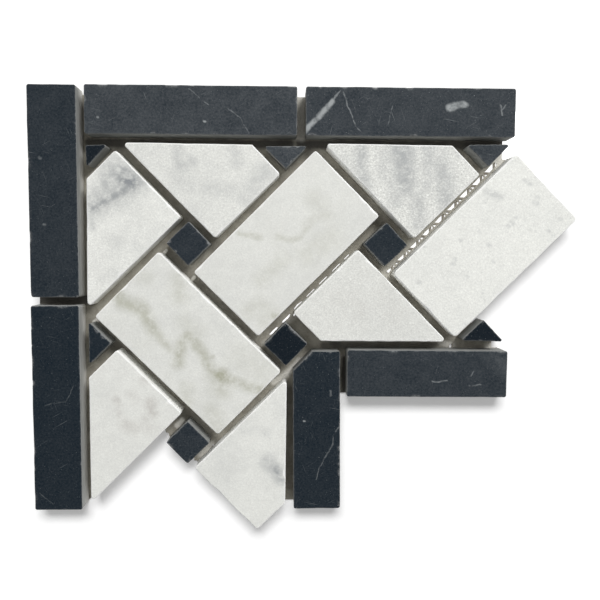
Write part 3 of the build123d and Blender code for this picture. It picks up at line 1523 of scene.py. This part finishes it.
def loop_length(loop: np.ndarray) -> float:
    """Return the length of a closed line."""
    return float(np.linalg.norm(loop - np.roll(loop, 1, axis=0), axis=1).sum())


def evenly(loop: np.ndarray) -> np.ndarray:
    """Spread more points over the sides of a closed line.

    Args:
        loop: The line's corners.

    Returns:
        The line with as many points on every side.
    """
    ahead = np.roll(loop, -1, axis=0)
    sides = [np.linspace(p, q, SIDE_POINTS, endpoint=False) for p, q in zip(loop, ahead)]
    return np.concatenate(sides)


def soften(loop: np.ndarray, rounds: int) -> np.ndarray:
    """Cut a closed line's corners until it is round.

    Args:
        loop: The line's points.
        rounds: How often every corner is cut.

    Returns:
        The rounded line.
    """
    for _ in range(rounds):
        ahead = np.roll(loop, -1, axis=0)
        cuts = [0.75 * loop + 0.25 * ahead, 0.25 * loop + 0.75 * ahead]
        loop = np.stack(cuts, axis=1).reshape(-1, 2)
    return loop


class Lit(Enum):
    """What a lamp lights, as the state of its link to the table."""

    SHEET = "EXCLUDE"
    TABLE = "INCLUDE"


@dataclass(frozen=True)
class Lamp:
    """A broad lamp that faces the sheet.

    Attributes:
        name: Its name.
        lit: Whether it lights the sheet or the table round it.
        place: Its place, in metres.
        size: Its width and depth, in metres.
        light: Its light on a level face, where 1 shows a colour as it is written.
    """

    name: str
    lit: Lit
    place: tuple[float, float, float]
    size: tuple[float, float]
    light: float

    def build(self, table: bpy.types.Object) -> None:
        """Hang the lamp.

        Args:
            table: The table under the sheet.
        """
        place = Vector(self.place)
        data = bpy.data.lights.new(self.name, "AREA")
        data.shape = "ELLIPSE"
        data.size, data.size_y = self.size
        data.energy = self.light * (math.pi * place.length) ** 2 * place.length / place.z
        lamp = bpy.data.objects.new(self.name, data)
        lamp.location = place
        lamp.rotation_euler = place.to_track_quat("Z", "Y").to_euler()
        bpy.context.scene.collection.objects.link(lamp)
        reached = bpy.data.collections.new(f"{self.name}_reach")
        reached.objects.link(table)
        reached.collection_objects[0].light_linking.link_state = self.lit.value
        lamp.light_linking.receiver_collection = reached


@dataclass
class Studio:
    """The white table, the soft lamps above it and the camera.

    Attributes:
        lens: The camera's focal length, in millimetres.
        nearest: The nearest that it sees, in metres.
        eye: The camera's place, in millimetres.
        turn: The camera's turn about X, Y and Z from looking straight down, in degrees.
        lamps: The lamps.
        room_light: The light from all round, on the lamps' scale.
        table_colour: Lightness of the table.
        table_lift: Its own glow, which keeps it white beside the shadow.
        table_size: Width of the table, in metres.
        rim: How far inside the sheet's outer sides the painted glow under its open joints starts,
            in millimetres.
        shadow_reach: How far the sheet's shadow reaches, in millimetres.
    """

    lens: float = 40.02
    nearest: float = 0.01
    eye: tuple[float, float, float] = (-8.73, 21.66, 265.97)
    turn: tuple[float, float, float] = (-3.82, -1.49, 0.24)
    lamps: tuple[Lamp, ...] = (
        Lamp("window_lamp", Lit.SHEET, (0.8, 1.17, 1.27), (0.9, 0.9), 0.58),
        Lamp("top_lamp", Lit.SHEET, (0.0, 0.3, 1.9), (1.2, 1.2), 0.02),
        Lamp("fill_lamp", Lit.SHEET, (-1.1, 0.9, 1.1), (1.2, 1.2), 0.12),
        Lamp("table_lamp", Lit.TABLE, (0.0, 1.05, 1.5), (1.1, 0.6), 0.8),
    )
    room_light: float = 0.28
    table_colour: float = 0.85
    table_lift: float = 0.2
    table_size: float = 4.0
    rim: float = 6.0
    shadow_reach: float = 12.0

    def build(self) -> None:
        """Set up the table, the light and the camera."""
        table = self._table()
        for lamp in self.lamps:
            lamp.build(table)
        self._room()
        self._camera()
        bpy.context.scene.view_settings.view_transform = "Standard"

    def _seen(self, bench: Bench) -> Value:
        """Find where the table or the room is seen, directly or by reflection.

        Args:
            bench: The material's or the room's nodes.

        Returns:
            1 where it is seen, and 0 where it only lights.
        """
        rays = bench.add("ShaderNodeLightPath").outputs
        seen = Value(bench, rays["Is Camera Ray"])
        return seen.larger(rays["Is Glossy Ray"]).larger(rays["Is Transmission Ray"])

    def _table(self) -> bpy.types.Object:
        """Make the white table, which keeps the sheet's shadow.

        Returns:
            The table.
        """
        half = self.table_size / 2
        corners = [(-half, -half, 0), (half, -half, 0), (half, half, 0), (-half, half, 0)]
        material = bpy.data.materials.new("white_table")
        material.use_nodes = True
        bench = Bench(material.node_tree)
        # Painted light: under the sheet the table glows white for the camera and in reflections,
        # though the sheet shades it; far off it is evenly white
        bright = self._painted_glow_under_sheet(bench).larger(self._far_off(bench))
        lift = bright * (1.0 - self.table_lift) + self.table_lift
        glow = bench.scale((1.0, 1.0, 1.0), self._seen(bench) * lift)
        shader = bench.add(
            "ShaderNodeBsdfPrincipled",
            None,
            {
                "Base Color": rgba((self.table_colour,) * 3),
                "Roughness": 1.0,
                "Specular IOR Level": 0.0,
                "Emission Color": glow,
                "Emission Strength": 1.0,
            },
        )
        bench.add("ShaderNodeOutputMaterial", None, {"Surface": shader.outputs[0]})
        table = new_piece("table", corners, [[0, 1, 2, 3]], material)
        return table

    def _painted_glow_under_sheet(self, bench: Bench) -> Value:
        """Find the table under the sheet, which is painted to glow white through the open joints,
        though the sheet shades it.

        Args:
            bench: The table's nodes.

        Returns:
            1 under the sheet, and 0 beside it.
        """
        where = bench.add("ShaderNodeTexCoord")
        x, y, _ = bench.axes(bench.scale(where.outputs["Object"], 1.0 / MM))
        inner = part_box("strip_inner_horizontal")[1].y / MM
        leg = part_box("strip_inner_vertical")[0].x / MM
        low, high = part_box("brick_right_end")
        end = (low + high) / (2 * MM)
        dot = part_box("dot_inner_corner")[0].y / MM
        upper = (y - inner).smaller((end.x - end.y) - (x - y))
        lower = (leg - x).smaller(y - (dot - self.rim))
        left, top = cad_box[0].x / MM, cad_box[1].y / MM
        within = upper.larger(lower).smaller(x - (left + self.rim)).smaller((top - self.rim) - y)
        return within.rise(0.0, 1.0)

    def _far_off(self, bench: Bench) -> Value:
        """Find the table away from the sheet.

        Args:
            bench: The table's nodes.

        Returns:
            1 past the reach of the sheet's shadow, and 0 within it.
        """
        where = bench.add("ShaderNodeTexCoord")
        middle = (cad_box[0] + cad_box[1]) / 2
        x, y, _ = bench.axes(bench.vector("SUBTRACT", where.outputs["Object"], tuple(middle)))
        out_x = abs(x) - (cad_box[1].x - middle.x)
        out_y = abs(y) - (cad_box[1].y - middle.y)
        return out_x.larger(out_y).rise(self.shadow_reach * MM, 2 * self.shadow_reach * MM)

    def _room(self) -> None:
        """Light the sheet softly from all round, and show white where nothing stands."""
        world = bpy.data.worlds.new("white_room")
        world.use_nodes = True
        bench = Bench(world.node_tree)
        strength = self._seen(bench) * (1.0 - self.room_light) + self.room_light
        sky = bench.add("ShaderNodeBackground", None, {"Color": (1, 1, 1, 1), "Strength": strength})
        bench.add("ShaderNodeOutputWorld", None, {"Surface": sky.outputs[0]})
        bpy.context.scene.world = world

    def _camera(self) -> None:
        """Set the camera above the sheet."""
        data = bpy.data.cameras.new("camera")
        data.lens = self.lens
        data.sensor_width = SENSOR
        data.clip_start = self.nearest
        camera = bpy.data.objects.new("camera", data)
        camera.location = tuple(c * MM for c in self.eye)
        camera.rotation_euler = tuple(math.radians(a) for a in self.turn)
        bpy.context.scene.collection.objects.link(camera)
        bpy.context.scene.camera = camera


# How far the stones slipped as they were laid, along X and Y, in millimetres
LAID: dict[str, tuple[float, float]] = {
    "brick_corner_left": (0.0, -0.6),
    "brick_corner_top": (-0.4, 0.2),
    "brick_upper_middle": (-0.2, 0.0),
    "brick_top_right": (-0.1, -0.25),
    "brick_right_end": (0.35, -0.2),
    "brick_lower_middle": (0.0, -0.4),
    "brick_left_lower": (-0.4, -0.4),
    "brick_bottom_end": (-0.6, -0.4),
    "brick_inner_right": (0.2, 0.2),
    "dot_corner": (0.2, 0.0),
    "dot_right": (0.2, -0.2),
    "dot_inner_corner": (-0.6, -0.4),
    "dot_lower": (0.3, -0.2),
    "quarter_dot_corner": (0.0, -0.8),
    "half_dot_top_middle": (0.2, 0.0),
    "half_dot_top_right": (0.4, 0.0),
    "half_dot_left": (-0.2, 0.2),
    "strip_outer_left_upper": (-0.2, -0.2),
    "strip_outer_left_lower": (-0.4, -0.4),
    "strip_outer_top_right": (0.2, 0.0),
    "strip_inner_vertical": (0.2, -0.4),
}


def speckled(*places: Point) -> tuple[Vein, ...]:
    """Scatter small grey specks of three sizes.

    Args:
        places: Where they lie on the face, in millimetres.

    Returns:
        The specks, as short veins.
    """
    sizes = cycle(((1.1, 0.4), (0.8, 0.28), (0.9, 0.33)))
    return tuple(
        Vein(((x, y), (x + 0.6, y - 0.3)), width, strength, 0.9)
        for (x, y), (width, strength) in zip(places, sizes)
    )


def white_stones() -> Iterable[Stone]:
    """Describe the white bricks, each with its own cut and veins.

    Yields:
        The bricks.
    """
    finishes = {
        "brick_corner_left": WhiteMarble(
            veins=(
                Vein(((-69.5, 53.8), (-66.5, 53.4), (-64.5, 52.6)), 2.2, 0.7, 1.0),
                Vein(((-68.5, 49.8), (-65.5, 48.8)), 5.0, 0.95, 1.0),
                Vein(((-71.0, 51.0), (-66.0, 50.0)), 8.0, 0.6, 1.0),
                Vein(((-67.5, 46.8), (-71.5, 44.8), (-76.0, 41.6), (-80.0, 38.6)), 2.6, 0.8, 1.0),
                Vein(((-68.0, 48.5), (-74.0, 44.5), (-80.0, 41.0)), 7.0, 0.5, 1.0),
                Vein(((-74.8, 51.0), (-76.0, 46.0)), 3.0, 0.5, 1.0),
                Vein(((-81.0, 43.0), (-77.0, 42.2)), 3.2, 0.55, 1.0),
                Vein(((-80.8, 38.0), (-80.8, 32.0)), 1.8, 0.3, 1.0),
                Vein(((-74.0, 59.0), (-74.0, 57.0)), 3.0, 0.16, 1.0),
                Vein(((-75.0, 28.0), (-71.5, 27.0)), 3.0, 0.14, 1.0),
                Vein(((-64.5, 25.5), (-63.0, 24.5)), 2.0, 0.14, 1.0),
                Vein(((-78.0, 12.0), (-73.0, 15.0)), 2.6, 0.14, 1.0),
            ),
            cloud=0.2,
            tone=1.03,
            flecks=0.1,
            sugar=1.7,
            vein_colour=(0.23, 0.245, 0.26),
        ),
        "brick_corner_top": WhiteMarble(
            veins=(
                Vein(((-48.5, 63.0), (-48.0, 58.0), (-46.5, 55.0)), 3.0, 0.37, 1.0),
                Vein(((-44.0, 58.0), (-42.5, 57.0)), 2.3, 0.31, 1.0),
                Vein(((-27.0, 62.0), (-26.0, 57.0)), 3.4, 0.31, 1.0),
                Vein(((-37.0, 46.5), (-28.5, 46.0)), 4.0, 0.26, 1.0),
                Vein(((-20.5, 47.5), (-16.0, 53.5)), 4.1, 0.33, 1.0),
                Vein(((-24.0, 43.5), (-22.0, 42.5)), 3.4, 0.28, 1.0),
                Vein(((-50.0, 52.0), (-44.0, 48.0)), 3.4, 0.18, 1.0),
            ),
            cloud=0.25,
            tone=0.97,
            flecks=0.2,
            sugar=1.8,
        ),
        "brick_upper_middle": WhiteMarble(
            veins=(
                Vein(((-25.5, 29.8), (-21.0, 29.6), (-17.0, 29.0)), 1.4, 0.42, 1.0),
                Vein(((-10.5, 28.8), (-5.0, 28.0), (-1.5, 29.5), (1.0, 32.5)), 1.4, 0.35, 1.0),
                Vein(((0.5, 33.0), (4.0, 36.0), (8.0, 37.0)), 2.3, 0.21, 1.0),
                Vein(((1.0, 22.5), (5.0, 25.5), (10.0, 28.0)), 5.2, 0.22, 1.0),
                Vein(((-17.0, 12.0), (-8.5, 20.0)), 3.7, 0.21, 1.0),
                Vein(((-12.3, -1.2), (-11.6, -1.6)), 2.0, 0.69, 1.0),
                Vein(((-16.0, -3.5), (-12.5, -1.0)), 3.4, 0.27, 1.0),
                Vein(((-21.0, 0.5), (-16.0, 2.5)), 4.3, 0.24, 1.0),
                Vein(((3.0, 44.0), (6.5, 38.0)), 4.3, 0.17, 1.0),
            ),
            cloud=0.15,
            tone=0.96,
            flecks=0.08,
            sugar=0.9,
            vein_colour=OLIVE,
        ),
        "brick_top_right": WhiteMarble(
            veins=(
                Vein(((36.0, 63.5), (37.0, 57.0), (38.5, 49.5)), 5.5, 0.72, 1.0),
                Vein(((38.6, 50.6), (39.2, 49.0)), 2.9, 0.80, 1.0),
                Vein(((21.0, 63.0), (21.5, 54.0), (23.0, 49.0)), 2.9, 0.55, 1.0),
                Vein(((33.5, 49.0), (34.5, 42.0)), 2.9, 0.38, 1.0),
                Vein(((46.5, 63.0), (47.0, 47.0)), 3.5, 0.35, 1.0),
                Vein(((52.0, 56.0), (53.5, 47.0), (54.0, 41.0)), 4.0, 0.55, 1.0),
                Vein(((43.0, 44.0), (43.0, 33.5)), 3.5, 0.46, 1.0),
                Vein(((30.0, 60.0), (30.0, 52.0)), 2.6, 0.26, 1.0),
            ),
            cloud=0.3,
            tone=0.95,
            flecks=0.2,
            sugar=3.4,
        ),
        "brick_right_end": WhiteMarble(
            veins=(
                Vein(((69.0, 47.0), (74.5, 45.0)), 1.8, 0.4, 1.0),
                *speckled(
                    (79.6, 34.4), (80.8, 36.2), (78.0, 33.2), (88.2, 42.5), (88.9, 44.2),
                    (86.1, 49.7), (84.6, 51.0), (95.6, 29.9), (94.0, 31.2), (56.6, 19.3),
                    (57.6, 21.0), (59.5, 27.8), (43.5, 11.6), (72.4, 19.6), (66.5, 31.0),
                    (70.3, 26.4), (62.0, 14.0), (98.0, 36.5),
                ),
            ),
            cloud=0.12,
            tone=1.04,
            flecks=0.35,
            sugar=1.5,
        ),
        "brick_lower_middle": WhiteMarble(
            veins=(
                Vein(((-71.5, 6.5), (-69.5, 3.5), (-66.0, 2.4), (-62.5, 0.8)), 3.4, 0.61, 1.0),
                Vein(((-62.5, 0.8), (-60.8, -2.5), (-58.5, -6.5)), 3.0, 0.61, 1.0),
                Vein(((-58.5, -6.5), (-55.0, -10.5), (-52.5, -14.0)), 2.1, 0.44, 1.0),
                Vein(
                    ((-49.0, -19.5), (-48.5, -15.5), (-47.0, -12.0), (-45.0, -9.0)), 3.0, 0.61, 1.0
                ),
                Vein(
                    ((-45.0, -9.0), (-42.0, -12.0), (-39.5, -15.5), (-37.5, -19.5)), 2.7, 0.61, 1.0
                ),
                Vein(((-37.5, -19.5), (-35.5, -22.5), (-32.0, -25.0)), 2.7, 0.61, 1.0),
                Vein(((-32.6, -24.8), (-31.4, -25.2)), 3.7, 0.97, 1.0),
                Vein(
                    ((-31.0, -26.0), (-26.0, -27.5), (-22.5, -29.0), (-18.0, -30.0)), 2.7, 0.55, 1.0
                ),
                Vein(((-34.0, -25.0), (-32.5, -30.0)), 4.8, 0.41, 1.0),
                Vein(((-48.5, 12.5), (-48.0, 5.5)), 4.0, 0.31, 1.0),
                Vein(((-45.5, -29.0), (-45.5, -34.0)), 3.0, 0.26, 1.0),
                Vein(((-36.0, -39.0), (-34.0, -46.0)), 4.8, 0.26, 1.0),
                Vein(((-36.3, -17.5), (-35.7, -17.5)), 1.5, 0.48, 1.0),
                Vein(((-46.0, -4.5), (-41.5, -8.0)), 4.5, 0.20, 1.0),
                Vein(((-62.0, 13.0), (-60.5, 12.5)), 3.7, 0.20, 1.0),
                Vein(((-24.0, -18.0), (-17.0, -23.0)), 7.6, 0.17, 1.0),
            ),
            cloud=0.2,
            tone=0.97,
            flecks=0.12,
            sugar=1.0,
            vein_colour=OLIVE,
        ),
        "brick_left_lower": WhiteMarble(
            veins=(
                Vein(((-73.0, -34.2), (-72.0, -34.8)), 1.6, 0.42, 1.0),
                Vein(((-62.8, -27.2), (-62.0, -27.8)), 1.6, 0.3, 1.0),
                Vein(((-60.0, -35.5), (-59.0, -39.0)), 3.0, 0.42, 1.0),
                Vein(((-62.0, -40.8), (-61.0, -41.4)), 1.8, 0.3, 1.0),
                Vein(((-69.5, -43.8), (-66.0, -45.5)), 3.0, 0.3, 1.0),
                Vein(((-72.0, -36.0), (-71.5, -40.0)), 2.0, 0.22, 1.0),
                Vein(((-66.5, -32.5), (-65.5, -33.5)), 3.0, 0.16, 1.0),
                Vein(((-62.0, -44.0), (-57.0, -47.0)), 4.0, 0.18, 1.0),
            ),
            cloud=0.15,
            tone=1.0,
            flecks=0.1,
            sugar=1.0,
            vein_colour=BROWN,
        ),
        "brick_bottom_end": WhiteMarble(
            veins=(
                Vein(((-14.2, -58.9), (-11.0, -62.5), (-9.1, -65.7)), 3.3, 0.60, 1.0),
                Vein(((-11.2, -61.6), (-10.4, -62.8)), 2.4, 0.90, 1.0),
                Vein(((-24.0, -46.0), (-14.0, -47.0)), 2.2, 0.14, 1.0),
            ),
            cloud=0.25,
            tone=1.015,
            flecks=0.2,
            sugar=1.1,
        ),
        "brick_inner_right": WhiteMarble(
            veins=(
                Vein(((16.0, 5.0), (20.0, 2.0)), 6.0, 0.1, 1.0),
                Vein(((30.0, 8.0), (34.0, 0.0)), 5.0, 0.1, 1.0),
            ),
            cloud=0.12,
            tone=0.95,
            flecks=0.1,
            sugar=1.8,
            vein_colour=BROWN,
        ),
    }
    corner = {"brick_right_end": 1.7}
    for number, (node, finish) in enumerate(finishes.items()):
        finish = replace(finish, shift=tuple(c * number for c in WHITE_CUT))
        yield Stone(
            node,
            Slot.WHITE_MARBLE,
            finish,
            WHITE_SEED + number,
            arris=0.45,
            chips=5.0,
            chip_size=0.35,
            corner=corner.get(node, 1.1),
            wear=0.7,
            slip=LAID.get(node, (0.0, 0.0)),
        )


def black_stones() -> Iterable[Stone]:
    """Describe the black strips and dots, each with its own cut and veins.

    Yields:
        The strips, then the dots.
    """
    finishes = {
        "strip_outer_left_upper": BlackMarble(
            veins=(
                Vein(((-98.6, 32.8), (-98.0, 32.6)), 0.8, 0.5, 0.6),
                Vein(((-100.5, 58.0), (-100.0, 57.6)), 0.8, 0.4, 0.6),
            ),
            # Painted light: a lighter sawn side, for the light on its right side in the joint
            sawn=(0.30, 0.305, 0.295),
            foot_paling=1.0,
            bloom=0.2,
        ),
        "strip_outer_left_lower": BlackMarble(
            veins=(
                Vein(((-100.0, -36.5), (-92.5, -35.0), (-90.0, -30.5), (-88.0, -27.5)), 0.3, 0.2),
                Vein(((-104.0, -69.5), (-98.0, -75.5)), 0.3, 0.2),
            ),
            # Painted light: a lighter sawn side, for the light on its right side in the joint
            sawn=(0.35, 0.355, 0.345),
            foot_paling=1.0,
            bloom=0.105,
        ),
        "strip_outer_top_left": BlackMarble(
            veins=(
                Vein(((-44.5, 84.0), (-40.5, 81.5), (-36.5, 78.5)), 0.3, 0.4),
                Vein(((-30.5, 77.5), (-25.0, 73.5), (-21.5, 67.5)), 0.3, 0.4),
                Vein(((-38.2, 72.4), (-38.0, 72.4)), 0.6, 0.9),
                Vein(((-78.4, 73.0), (-78.0, 73.0)), 0.5, 0.6),
                Vein(((-36.7, 82.4), (-36.3, 82.4)), 0.5, 0.6),
            ),
            bloom=0.445,
        ),
        "strip_outer_top_right": BlackMarble(
            veins=(
                Vein(((-0.5, 68.5), (5.5, 74.5), (10.0, 79.5)), 1.6, 1.0, 0.4),
                Vein(((10.0, 79.5), (13.0, 84.0)), 0.5, 0.6),
                Vein(((14.0, 84.0), (19.0, 70.5), (22.0, 67.5)), 0.35, 0.5),
                Vein(((54.5, 77.6), (57.0, 79.0), (60.0, 79.4)), 2.4, 1.0, 0.35),
                Vein(((73.8, 79.0), (75.0, 75.5)), 0.4, 0.6),
                Vein(((75.8, 78.8), (74.5, 77.0)), 0.4, 0.6),
                Vein(((32.5, 78.5), (31.0, 69.0)), 0.3, 0.35),
            ),
            bloom=0.36,
            scuffs=0.5,
        ),
        "strip_inner_vertical": BlackMarble(
            veins=(
                Vein(((13.5, -45.0), (11.5, -48.0), (11.0, -52.0), (7.0, -59.0)), 0.35, 0.36),
                Vein(((7.0, -59.0), (5.5, -61.5), (4.5, -66.0)), 0.3, 0.32),
                Vein(((-0.2, -42.6), (0.2, -42.6)), 0.6, 0.9),
                Vein(((9.8, -30.8), (9.8, -32.5)), 0.6, 0.35),
            ),
            bloom=0.125,
        ),
        "strip_inner_horizontal": BlackMarble(
            veins=(
                Vein(((50.0, -27.5), (55.5, -26.8)), 0.45, 0.5),
                Vein(((64.0, -29.0), (69.0, -28.5)), 0.4, 0.4),
                Vein(((66.0, -23.5), (65.0, -25.5)), 0.4, 0.4),
                Vein(((72.5, -17.0), (78.0, -22.5)), 4.0, 0.1, 1.0),
            ),
            bloom=0.3,
        ),
        "dot_corner": BlackMarble(bloom=0.215),
        "dot_right": BlackMarble(bloom=0.155),
        "dot_inner_corner": BlackMarble(bloom=0.03, deep=INK),
        "dot_lower": BlackMarble(bloom=0.225),
        "quarter_dot_corner": BlackMarble(bloom=0.03, deep=INK),
        "half_dot_top_middle": BlackMarble(bloom=0.5),
        "half_dot_top_right": BlackMarble(bloom=0.43),
        "half_dot_left": BlackMarble(bloom=0.09),
        "half_dot_inner_right": BlackMarble(bloom=0.03, deep=INK),
    }
    for number, (node, finish) in enumerate(finishes.items()):
        finish = replace(finish, shift=tuple(c * number for c in BLACK_CUT))
        yield Stone(
            node,
            Slot.BLACK_MARBLE,
            finish,
            BLACK_SEED + number,
            arris=0.3,
            chips=12.0,
            chip_size=0.5,
            corner=0.9 if node.startswith("strip") else 0.6,
            slip=LAID.get(node, (0.0, 0.0)),
        )


def dried_glue() -> DriedGlue:
    """Describe the adhesive: paler along the open joints, with painted light along some joints and
    painted shade along others.

    Returns:
        The adhesive's finish.
    """
    return DriedGlue(
        # Paler lines and spots; along the joints that run up to the right they are painted light
        (
            Vein(((32.0, 13.7), (52.0, 33.7)), 4.0, 0.3, 0.4),
            Vein(((52.0, 33.7), (78.0, 59.7)), 5.0, 0.15, 0.4),
            Vein(((-15.5, -13.5), (20.0, 22.0)), 2.2, 0.4, 0.5),
            Vein(((-1.7, 68.0), (-1.7, 86.0)), 2.6, 0.6, 0.5),
            Vein(((-51.0, -46.6), (-48.8, -44.4)), 1.6, 1.0, 0.5),
            Vein(((-41.5, -58.5), (-37.5, -54.5)), 2.5, 0.7, 0.5),
            Vein(((-12.0, -29.0), (-7.0, -25.8)), 2.2, 0.9, 0.5),
            Vein(((-5.5, -24.3), (-2.0, -20.5)), 2.0, 0.8, 0.5),
            Vein(((76.0, 59.0), (80.0, 64.0)), 4.5, 0.9, 0.4),
            Vein(((-55.6, 22.4), (-54.6, 23.4)), 1.0, 1.0, 0.4),
            Vein(((-44.4, 12.1), (-43.6, 12.9)), 1.0, 1.0, 0.4),
            Vein(((-83.0, -5.0), (-81.5, -3.8)), 1.5, 1.0, 0.4),
            Vein(((55.0, -13.0), (60.0, -14.5)), 2.0, 0.6, 0.5),
            Vein(((74.0, -14.5), (79.0, -14.5)), 2.0, 0.6, 0.5),
        ),
        # Painted shade: lines under the top strips, in the narrow gaps and along the joints that
        # run down to the right
        (
            Vein(((-84.0, 65.0), (-6.0, 65.2)), 3.0, 0.9, 0.4),
            Vein(((-2.0, 65.2), (78.0, 65.5)), 3.0, 0.9, 0.4),
            Vein(((-106.0, 4.0), (-84.0, 4.0)), 3.6, 0.95, 0.4),
            Vein(((16.5, -20.0), (16.5, -36.0)), 2.6, 0.9, 0.4),
            Vein(((-5.5, -32.0), (-5.5, -72.0)), 2.2, 0.4, 0.4),
            Vein(((2.5, -4.5), (13.0, -13.5)), 3.0, 0.5, 0.4),
            Vein(((8.0, -14.5), (52.0, -14.5)), 2.6, 0.65, 0.4),
            Vein(((-72.0, 62.0), (-24.0, 14.0)), 4.0, 0.34, 0.5),
            Vein(((-54.0, 22.0), (-10.0, -22.0)), 4.0, 0.34, 0.5),
            Vein(((2.0, 62.0), (36.0, 28.0)), 4.0, 0.34, 0.5),
            Vein(((18.0, 18.0), (58.0, -14.0)), 4.0, 0.34, 0.5),
            Vein(((-84.0, -6.0), (-36.0, -54.0)), 4.0, 0.34, 0.5),
        ),
    )


def main() -> None:
    """Build the sheet from its net up, then the studio round it."""
    logging.basicConfig(level=logging.INFO, format="%(name)s: %(message)s")
    stones = [*white_stones(), *black_stones()]
    WovenNet().build()
    GlueBed([stone.node for stone in stones], dried_glue()).build()
    for stone in stones:
        stone.build()
    Studio().build()


if __name__ == "__main__":
    main()
